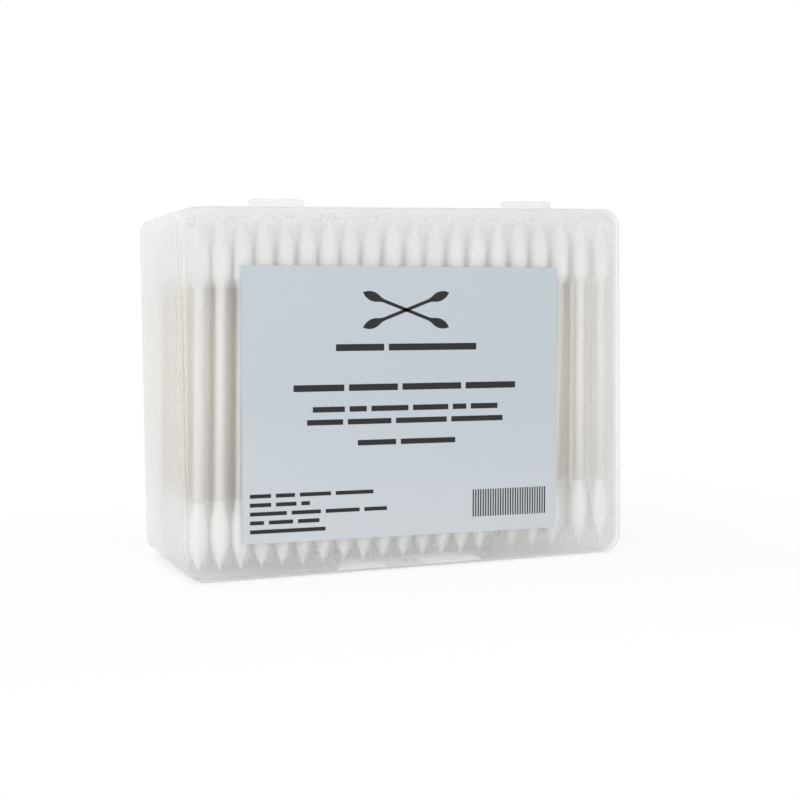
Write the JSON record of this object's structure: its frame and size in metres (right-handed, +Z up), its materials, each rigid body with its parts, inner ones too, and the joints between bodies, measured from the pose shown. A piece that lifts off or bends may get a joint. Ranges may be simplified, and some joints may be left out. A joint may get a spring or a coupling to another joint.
{
  "type": "cotton swab box",
  "caption": "Clear hinged plastic box standing on its long side, packed with upright cotton swabs, with a plain label on its lid and a snap latch below.",
  "frame": {"origin": "centre of the bounding box's base, on the plane that the box stands on", "axes": "+Z up along the swabs towards the hinges, +Y from the lid's front face into the tray, +X to the right as the lid is faced"},
  "size_m": [0.105, 0.045, 0.0821],
  "materials": {
    "tray_plastic": "translucent polypropylene, smooth",
    "lid_plastic": "translucent polypropylene, smooth",
    "label_paper": "coated label stock, pale grey-blue, silk",
    "stick_paper": "rolled white paper, matte",
    "cotton": "wound white cotton fibre"
  },
  "bodies": {
    "tray_body": {"tray": "tray_plastic", "sticks_01": "stick_paper", "sticks_02": "stick_paper", "sticks_03": "stick_paper", "sticks_04": "stick_paper", "sticks_05": "stick_paper", "sticks_06": "stick_paper", "sticks_07": "stick_paper", "sticks_08": "stick_paper", "sticks_09": "stick_paper", "sticks_10": "stick_paper", "lower_buds_01": "cotton", "lower_buds_02": "cotton", "lower_buds_03": "cotton", "lower_buds_04": "cotton", "lower_buds_05": "cotton", "lower_buds_06": "cotton", "lower_buds_07": "cotton", "lower_buds_08": "cotton", "lower_buds_09": "cotton", "lower_buds_10": "cotton", "upper_buds_01": "cotton", "upper_buds_02": "cotton", "upper_buds_03": "cotton", "upper_buds_04": "cotton", "upper_buds_05": "cotton", "upper_buds_06": "cotton", "upper_buds_07": "cotton", "upper_buds_08": "cotton", "upper_buds_09": "cotton", "upper_buds_10": "cotton"},
    "lid_body": {"lid": "lid_plastic", "label": "label_paper"}
  },
  "joints": [
    {"name": "lid_hinge", "type": "hinge", "parent": "tray_body", "child": "lid_body", "pos_m": [0, -0.01833, 0.08205], "axis": [-1, 0, 0], "range_deg": [0, 180]}
  ]
}
